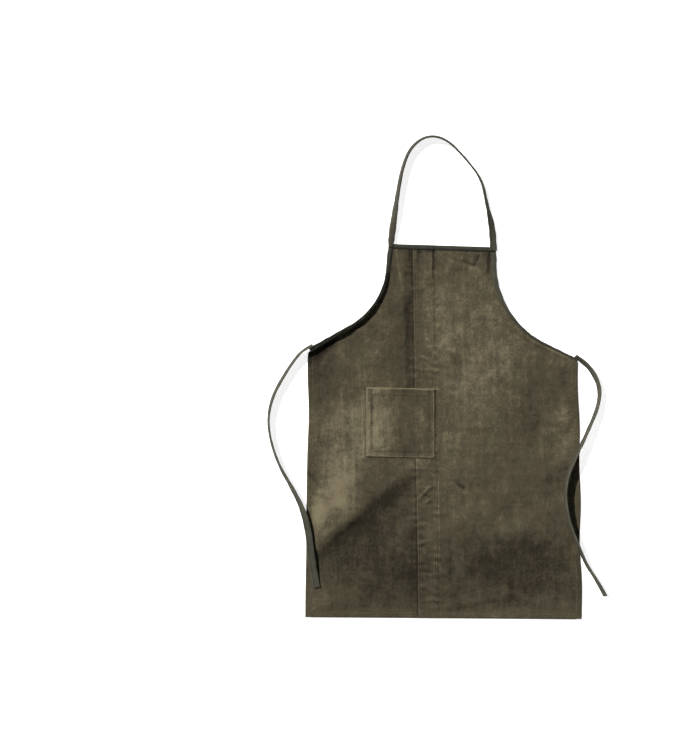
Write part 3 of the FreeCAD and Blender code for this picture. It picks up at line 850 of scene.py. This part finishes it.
top_x = np.linspace(BIB_LEFT[0] + 0.5 * mm, BIB_RIGHT[0] - 0.5 * mm, 130)
top_line = np.stack([top_x, top_edge(top_x)], axis=1)
top_root = top_line - np.array([0, TOP_LEAF])
top_foot = np.column_stack([top_root, face(top_root[:, 0], top_root[:, 1] + 6 * mm) - CANVAS / 2])
top_foot[:, 2] += 0.25 * mm
top_out = np.tile([0.0, 1.0, 0.0], (len(top_line), 1))
top_up = np.tile([0.0, 0.0, 1.0], (len(top_line), 1))
bib_top_binding = sweep("bib_top_binding", top_foot, top_out, top_up, folded_tape(TOP_LEAF))
keep(bib_top_binding, "wear_and_hollow_shade", np.full(len(bib_top_binding.data.vertices), -0.3))
bib_top_binding.data.materials.append(binding_tape)
sewn_on(bib_top_binding, "binding_tape")


# ==================================================================== patch pocket
# One layer of the same canvas, its mouth hemmed and its other sides turned in, sewn
# by two rows on three sides.  The seam under it shows through as a ridge.

POCKET = [(-180, 104), (-20.6, 100), (-20.6, -62), (-180, -58)]
POCKET_HEM, POCKET_TURNING = 16 * mm, 10 * mm
MOUTH_GAPE = 2.6 * mm
MOUTH_LEFT, MOUTH_RIGHT, FOOT_RIGHT, FOOT_LEFT = np.array(POCKET) * mm


def pocket_gaps(x, y):
    """How far in a point is from the mouth, from the foot and from the nearer side."""
    mouth = line(x, MOUTH_LEFT, MOUTH_RIGHT, 0) - y
    foot = y - line(x, FOOT_LEFT, FOOT_RIGHT, 0)
    return mouth, foot, np.minimum(x - MOUTH_LEFT[0], MOUTH_RIGHT[0] - x)


def turned_in(x, y):
    """1 where a second layer is turned in behind the pocket's face, otherwise 0."""
    mouth, foot, sides = pocket_gaps(x, y)
    hemmed = 1 - smooth(POCKET_HEM, POCKET_HEM + 2.5 * mm, mouth)
    turned = 1 - smooth(POCKET_TURNING, POCKET_TURNING + 2.5 * mm, np.minimum(foot, sides))
    return np.maximum(turned, hemmed)


def pocket_face(x, y):
    """Height of the pocket's top side."""
    x, y = np.broadcast_arrays(np.asarray(x, float), np.asarray(y, float))
    mouth, foot, sides = pocket_gaps(x, y)
    sewn = smooth(4 * mm, 30 * mm, sides)
    gape = MOUTH_GAPE * sewn * np.exp(-((mouth / (26 * mm)) ** 2))
    puff = 0.7 * mm * sewn * smooth(2 * mm, 30 * mm, foot) * (0.6 + waves(x, y, 0.05, 51))
    return face(x, y) + CANVAS * (1.1 + turned_in(x, y)) + gape + np.maximum(puff, 0)


across_share = np.linspace(0, 1, 84)[None, :, None]
down_share = np.linspace(0, 1, 86)[:, None, None]
mouth_line = MOUTH_LEFT + (MOUTH_RIGHT - MOUTH_LEFT) * across_share
foot_line = FOOT_LEFT + (FOOT_RIGHT - FOOT_LEFT) * across_share
flat_pocket = foot_line + (mouth_line - foot_line) * down_share
pocket_x, pocket_y = flat_pocket[..., 0], flat_pocket[..., 1]
pocket_top = pocket_face(pocket_x, pocket_y)
pocket_back = pocket_top - CANVAS * (1 + turned_in(pocket_x, pocket_y))
pocket = shell(
    "pocket",
    np.stack([pocket_x, pocket_y, pocket_top], axis=-1),
    np.stack([pocket_x, pocket_y, pocket_back], axis=-1),
)
mouth_gap, foot_gap, side_gap = pocket_gaps(pocket_x, pocket_y)
sewn_gap = np.minimum(foot_gap, side_gap)
# Stains with their painted highlight and painted shade, plus wear at the mouth and the sewn edges.
pocket_wear_and_shade = (
    stain_and_painted_light(pocket_x, pocket_y)
    + 0.85 * np.exp(-((mouth_gap / (2.6 * mm)) ** 2))
    - 0.25 * np.exp(-(((sewn_gap - 12 * mm) / (3 * mm)) ** 2))
    + 0.60 * np.exp(-((sewn_gap / (2.2 * mm)) ** 2))
    + 0.22 * smooth(-0.09, -0.16, pocket_x)
)
keep(pocket, "stain_and_painted_light", np.tile(pocket_wear_and_shade.ravel(), 2))
keep(pocket, "wear_and_hollow_shade", np.tile((0.3 * waves(pocket_x, pocket_y, 0.02, 53)).ravel(), 2))
pocket.data.materials.append(pocket_canvas)
sewn_on(pocket, "pocket_canvas", "pocket", "pocket_top_hem", "pocket_turned_edge")


# ==================================================================== stitching
# Lock stitch in 0.8 mm thread, one stitch every 3.2 mm, and short dense tacks at
# the points that take a pull.  Each stitch is a small closed bead.

def stitch_tree():
    tree = bpy.data.node_groups.new("stitches", "GeometryNodeTree")
    tree.interface.new_socket("Points", in_out="INPUT", socket_type="NodeSocketGeometry")
    named = {}
    for name, kind in (
        ("Stitch Length", "NodeSocketFloat"), ("Thread Width", "NodeSocketFloat"),
        ("Turn", "NodeSocketFloat"), ("Seed", "NodeSocketInt"),
        ("Thread", "NodeSocketMaterial"),
    ):
        named[name] = tree.interface.new_socket(
            name, in_out="INPUT", socket_type=kind
        ).identifier
    tree.interface.new_socket("Stitches", in_out="OUTPUT", socket_type="NodeSocketGeometry")

    def add(kind, **settings):
        made = tree.nodes.new(kind)
        for setting, value in settings.items():
            setattr(made, setting, value)
        return made

    given = add("NodeGroupInput")
    bead = add("GeometryNodeMeshUVSphere")
    bead.inputs["Segments"].default_value = 6
    bead.inputs["Rings"].default_value = 4
    bead.inputs["Radius"].default_value = 0.5
    size = add("ShaderNodeCombineXYZ")
    shape = add("GeometryNodeTransform")
    way = add("GeometryNodeInputNamedAttribute", data_type="FLOAT_VECTOR")
    way.inputs["Name"].default_value = "way"
    aimed = add("FunctionNodeAlignRotationToVector", axis="X")
    wobble = add("FunctionNodeRandomValue", data_type="FLOAT")
    wobble.inputs[2].default_value = -0.10
    wobble.inputs[3].default_value = 0.10
    turned = add("ShaderNodeMath", operation="ADD")
    spin = add("ShaderNodeCombineXYZ")
    as_rotation = add("FunctionNodeEulerToRotation")
    both = add("FunctionNodeRotateRotation", rotation_space="LOCAL")
    plant = add("GeometryNodeInstanceOnPoints")
    whole = add("GeometryNodeRealizeInstances")
    coat = add("GeometryNodeSetMaterial")
    result = add("NodeGroupOutput")
    for source, target in (
        (given.outputs["Stitch Length"], size.inputs["X"]),
        (given.outputs["Thread Width"], size.inputs["Y"]),
        (given.outputs["Thread Width"], size.inputs["Z"]),
        (bead.outputs["Mesh"], shape.inputs["Geometry"]),
        (size.outputs["Vector"], shape.inputs["Scale"]),
        (given.outputs["Seed"], wobble.inputs["Seed"]),
        (wobble.outputs[1], turned.inputs[0]),
        (given.outputs["Turn"], turned.inputs[1]),
        (turned.outputs[0], spin.inputs["Z"]),
        (spin.outputs["Vector"], as_rotation.inputs["Euler"]),
        (way.outputs["Attribute"], aimed.inputs["Vector"]),
        (aimed.outputs["Rotation"], both.inputs["Rotation"]),
        (as_rotation.outputs["Rotation"], both.inputs["Rotate By"]),
        (given.outputs["Points"], plant.inputs["Points"]),
        (shape.outputs["Geometry"], plant.inputs["Instance"]),
        (both.outputs["Rotation"], plant.inputs["Rotation"]),
        (plant.outputs["Instances"], whole.inputs["Geometry"]),
        (whole.outputs["Geometry"], coat.inputs["Geometry"]),
        (given.outputs["Thread"], coat.inputs["Material"]),
        (coat.outputs["Geometry"], result.inputs["Stitches"]),
    ):
        tree.links.new(source, target)
    return tree, named


STITCH_TREE, STITCH_INPUTS = stitch_tree()
STITCH_SEED = 5
PITCH, STITCH, THREAD = 3.2 * mm, 2.7 * mm, 0.8 * mm
TACK = {"pitch": 0.9 * mm, "stitch": 3.0 * mm, "turn": math.radians(78)}
ABOVE_LEAF = LEAF_OUT + 0.2 * mm
# How far in from its edge each row runs.
SEAM_GAPS, HEM_GAP, LEAF_GAP = (2 * mm, 7 * mm), 11 * mm, 2 * mm


def thread_finish(name, colour):
    finish = Finish(name, Roughness=0.75)
    pale = tuple(min(1.0, c * 1.5) for c in colour)
    finish.feed(Base_Color=finish.mix(finish.noise(260), (*colour, 1), (*pale, 1)))
    return finish.material


THREADS = {
    "thread": thread_finish("thread", (0.085, 0.074, 0.050)),
    "dark_thread": thread_finish("dark_thread", (0.020, 0.019, 0.015)),
}


def stitches(name, routes, slot, pitch=PITCH, stitch=STITCH, turn=0.0):
    """One piece made of every stitch along the routes, which lie on a surface."""
    spots, ways = [], []
    for route in routes:
        route = np.asarray(route, float)
        long = np.linalg.norm(np.diff(route, axis=0), axis=1).sum()
        even = resample(route, max(2, int(long / pitch)))
        spots.append((even[1:] + even[:-1]) / 2)
        ways.append(np.diff(even, axis=0))
    spots, ways = np.concatenate(spots), np.concatenate(ways)
    mesh = bpy.data.meshes.new(name)
    mesh.from_pydata([tuple(p) for p in spots], [], [])
    store = mesh.attributes.new("way", "FLOAT_VECTOR", "POINT")
    store.data.foreach_set("vector", ways.astype(np.float32).ravel())
    piece = bpy.data.objects.new(name + "_look", mesh)
    bpy.context.scene.collection.objects.link(piece)
    modifier = piece.modifiers.new("stitches", "NODES")
    modifier.node_group = STITCH_TREE
    for socket, value in (
        ("Stitch Length", stitch), ("Thread Width", THREAD), ("Turn", turn),
        ("Seed", STITCH_SEED), ("Thread", THREADS[slot]),
    ):
        modifier[STITCH_INPUTS[socket]] = value
    drawn = piece.evaluated_get(bpy.context.evaluated_depsgraph_get())
    plain = bpy.data.meshes.new_from_object(drawn)
    piece.modifiers.clear()
    piece.data = plain
    return piece


def on(surface, xy, lift):
    """A flat route laid on a surface."""
    return np.column_stack([xy, surface(xy[:, 0], xy[:, 1]) + lift])


def between(one, other, count=260):
    """A straight flat route; its ends are given in mm."""
    return np.linspace(np.array(one) * mm, np.array(other) * mm, count)


def row(name, surface, routes, slot="thread", lift=0.25 * mm, **tack):
    """Stitches on the body, from flat routes that are laid on one of its surfaces."""
    laid = [on(surface, route, lift) for route in routes]
    return sewn_on(stitches(name, laid, slot, **tack), slot)


seam_y = np.linspace(LOW + 4 * mm, HIGH - 12 * mm, 420)


def seam_rows(gaps):
    """Rows down the seam at these gaps from the lap's edge, broken by the pocket."""
    rows = []
    for gap in gaps:
        x = lap_left(seam_y) + gap
        for bare in (seam_y > MOUTH_LEFT[1] + 2 * mm, seam_y < FOOT_RIGHT[1] - 4 * mm):
            rows.append(np.stack([x[bare], seam_y[bare]], axis=1))
    return rows


lap_seam_left_stitching = row("lap_seam_left_stitching", face, seam_rows(SEAM_GAPS))
lap_seam_right_stitching = row(
    "lap_seam_right_stitching", face, seam_rows([LAP_WIDTH - gap for gap in SEAM_GAPS[::-1]]))
left_side_stitching = row("left_side_stitching", face, [left_line + [HEM_GAP, 0]])
right_side_stitching = row("right_side_stitching", face, [right_line - [HEM_GAP, 0]])
bottom_hem_stitching = row("bottom_hem_stitching", face, [bottom_line + [0, HEM_GAP]])


def leaf_row(name, foot, along_leaf, out_front):
    """A dark row along a binding, near the raw edge of its leaf."""
    route = foot + along_leaf * LEAF_GAP + out_front * ABOVE_LEAF
    return sewn_on(stitches(name, [route], "dark_thread"), "dark_thread")


bib_top_stitching = leaf_row("bib_top_stitching", top_foot, top_out, top_up)
left_armhole_stitching = leaf_row(
    "left_armhole_stitching", *(part[3:-3] for part in armhole_frame(armholes["left"])))
right_armhole_stitching = leaf_row(
    "right_armhole_stitching", *(part[3:-3] for part in armhole_frame(armholes["right"])))


def pocket_row(gap):
    """Down one side of the pocket, along its foot and up the other side."""
    left, right = POCKET[0][0] + gap, POCKET[1][0] - gap
    low_left, low_right = POCKET[3][1] + gap, POCKET[2][1] + gap
    return np.concatenate([
        between((left, POCKET[0][1] - 1), (left, low_left)),
        between((left, low_left), (right, low_right)),
        between((right, low_right), (right, POCKET[1][1] - 1)),
    ])


pocket_outer_stitching = row("pocket_outer_stitching", pocket_face, [pocket_row(2)])
pocket_inner_stitching = row("pocket_inner_stitching", pocket_face, [pocket_row(8)])
pocket_hem_stitching = row(
    "pocket_hem_stitching", pocket_face, [between((-170, 90), (-31, 87))])
pocket_bartacks = row("pocket_bartacks", pocket_face, [
    between((-177, 99.5), (-167, 99.3), 20),
    between((-33, 96), (-23, 95.8), 20),
], **TACK)
strap_bartacks = row("strap_bartacks", face, [
    between((-128, 428), (-116, 427.7), 20),
    between((111, 421), (122, 420.7), 20),
], "dark_thread", LEAF_OUT, **TACK)


# ==================================================================== neck strap and ties
# Each is canvas tape folded in four and sewn shut along its open edge.  It comes
# off the apron flat and then turns up on its edge, which lets it bend so freely.

TAPE_WIDTH, TAPE_THICK = 16 * mm, 3 * mm
strap_tape = tape_finish("strap_tape", (0.038, 0.037, 0.028))

# The stops of each route: across, up, height of the middle of the tape (mm), and how
# far its face leans from flat (degrees; minus leans it to the other side).
NECK_STRAP_STOPS = [
    (-124.4, 431, 6.4, 0), (-123, 441, 5.6, 12), (-116, 500, 7.4, 54), (-107, 560, 8.2, 64),
    (-96, 620, 8.4, 67), (-76, 668, 8.4, 70), (-36, 695, 8.6, 72), (10, 684, 8.6, 72),
    (55, 636, 8.4, 74), (90, 590, 8.4, 74), (102, 530, 8.2, 68), (114, 480, 7.4, 58),
    (117, 433.3, 5.6, 12), (117.4, 423, 6.4, 0),
]
LEFT_TIE_STOPS = [
    (-306, 203.1, 15.4, -72), (-317.3, 196.9, 14.6, -72), (-341, 180, 11.4, -70),
    (-372, 134, 8.8, -70), (-400, 84, 8.6, -76), (-412, 30, 8.6, -76), (-404, -26, 8.6, -74),
    (-384, -82, 8.6, -64), (-353, -134, 8.6, -48), (-327, -186, 8.6, -26),
    (-314, -244, 8.4, -12), (-308, -305, 8.0, -8), (-296, -365, 7.8, -8),
]
RIGHT_TIE_STOPS = [
    (309, 177.4, 8.6, -56), (317.3, 170.9, 8.6, -58), (345, 148, 8.6, -66),
    (367, 104, 8.6, -74), (362, 58, 8.8, -74), (340, 8, 12.5, -74), (314, -48, 17.2, -72),
    (289, -100, 17.9, -70), (282, -152, 18.0, -70), (292, -212, 17.6, -70),
    (314, -264, 14.5, -74), (334, -312, 9.4, -74), (359, -348, 8.6, -70), (379, -385, 8.2, -62),
]


def follow(stops):
    """The points of a soft route through the stops, as a curve gives them."""
    curve = bpy.data.curves.new("route", "CURVE")
    curve.dimensions = "3D"
    curve.resolution_u = 14
    spline = curve.splines.new("NURBS")
    spline.points.add(len(stops) - 1)
    for point, (x, y, z, _) in zip(spline.points, stops):
        point.co = (x * mm, y * mm, z * mm, 1)
    spline.order_u = 3
    spline.use_endpoint_u = True
    carrier = bpy.data.objects.new("route", curve)
    bpy.context.scene.collection.objects.link(carrier)
    drawn = carrier.evaluated_get(bpy.context.evaluated_depsgraph_get())
    wire = bpy.data.meshes.new_from_object(drawn)
    points = np.array([v.co[:] for v in wire.vertices])
    bpy.data.objects.remove(carrier)
    return points


def tape_frame(stops):
    """Middle of the tape, the way across its face and the way out of its face."""
    path = follow(stops)
    middle = resample(path, 230)
    flat = np.column_stack([middle[:, 0], middle[:, 1], np.zeros(len(middle))])
    way = tangents(flat)
    beside = np.column_stack([way[:, 1], -way[:, 0], np.zeros(len(way))])
    up = np.array([[0.0, 0.0, 1.0]])
    shares = np.linspace(0, 1, len(stops))
    lean = np.radians(np.interp(np.linspace(0, 1, len(middle)), shares, [s[3] for s in stops]))
    cosine, sine = np.cos(lean)[:, None], np.sin(lean)[:, None]
    return path, middle, beside * cosine + up * sine, up * cosine - beside * sine


HALF_W, HALF_T = TAPE_WIDTH / 2, TAPE_THICK / 2
FOLDED_IN_FOUR = np.array([
    (-HALF_W, 0.3 * HALF_T), (-HALF_W, -0.4 * HALF_T), (-0.92 * HALF_W, -HALF_T),
    (-0.3 * HALF_W, -0.92 * HALF_T), (0.4 * HALF_W, -0.92 * HALF_T),
    (0.6 * HALF_W, -0.72 * HALF_T), (0.9 * HALF_W, -HALF_T), (HALF_W, -0.75 * HALF_T),
    (0.80 * HALF_W, 0), (HALF_W, 0.75 * HALF_T), (0.9 * HALF_W, HALF_T),
    (0.6 * HALF_W, 0.72 * HALF_T), (0.4 * HALF_W, 0.92 * HALF_T),
    (-0.3 * HALF_W, 0.92 * HALF_T), (-0.92 * HALF_W, HALF_T),
])


def tape(name, stops):
    path, middle, across, out = tape_frame(stops)
    run = np.linspace(0, 1, len(middle))
    sections = np.tile(FOLDED_IN_FOUR, (len(middle), 1, 1))
    sections *= (1 + 0.05 * waves(run, run * 0, 0.05, len(name), 8))[:, None, None]
    sections[:, :, 0] *= (0.62 + 0.38 * smooth(0, 0.035, run))[:, None]
    piece = sweep(name, middle, across, out, sections)
    off_middle = np.abs(FOLDED_IN_FOUR[:, 0]) / HALF_W
    paling = np.where(off_middle > 0.88, 0.7, np.where(off_middle > 0.5, -1.0, 0.1))
    keep(piece, "wear_and_hollow_shade", np.tile(paling, len(middle)))
    piece.data.materials.append(strap_tape)
    return piece, path, (middle, across, out)


def tape_rows(middle, across, out):
    """A row on each face of a tape, beside its open edge."""
    beside = (middle + across * 0.70 * HALF_W)[4:-2]
    return [beside + out[4:-2] * side * (HALF_T * 0.82 + 0.25 * mm) for side in (1, -1)]


def tie_tack(middle, across, out):
    """A short tack across a tie, just past where it leaves the waist."""
    low, high = middle[5] - across[5] * 5 * mm, middle[5] + across[5] * 5 * mm
    return np.linspace(low, high, 20) + out[5] * (HALF_T + 0.2 * mm)


# For each tape: the middle of the line where it is sewn down, and which way the tape leaves it.
BEND, BEND_HEIGHT = 0.030, 5 * mm
tacks = []
for name, row_name, body, stops, root, way, far_end in (
    ("neck_strap", "neck_strap_stitching", "neck_strap", NECK_STRAP_STOPS,
     (-0.0025, 0.4363), (0.0316, 0.9995), "object"),
    ("left_waist_tie", "left_tie_stitching", "left_tie", LEFT_TIE_STOPS,
     (-0.3173, 0.1969), (-0.814, -0.581), "bare"),
    ("right_waist_tie", "right_tie_stitching", "right_tie", RIGHT_TIE_STOPS,
     (0.3173, 0.1709), (0.771, -0.637), "bare"),
):
    piece, path, lay_of_tape = tape(name, stops)
    sewing = stitches(row_name, tape_rows(*lay_of_tape), "dark_thread")
    if far_end == "bare":
        tacks.append(tie_tack(*lay_of_tape))
    end = (root[0] + way[0] * BEND, root[1] + way[1] * BEND, BEND_HEIGHT)
    for part, node, slot in ((piece, name, "strap_tape"), (sewing, row_name, "dark_thread")):
        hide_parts(node)
        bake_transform(part)
sewn_on(stitches("tie_bartacks", tacks, "dark_thread", **TACK), "dark_thread")
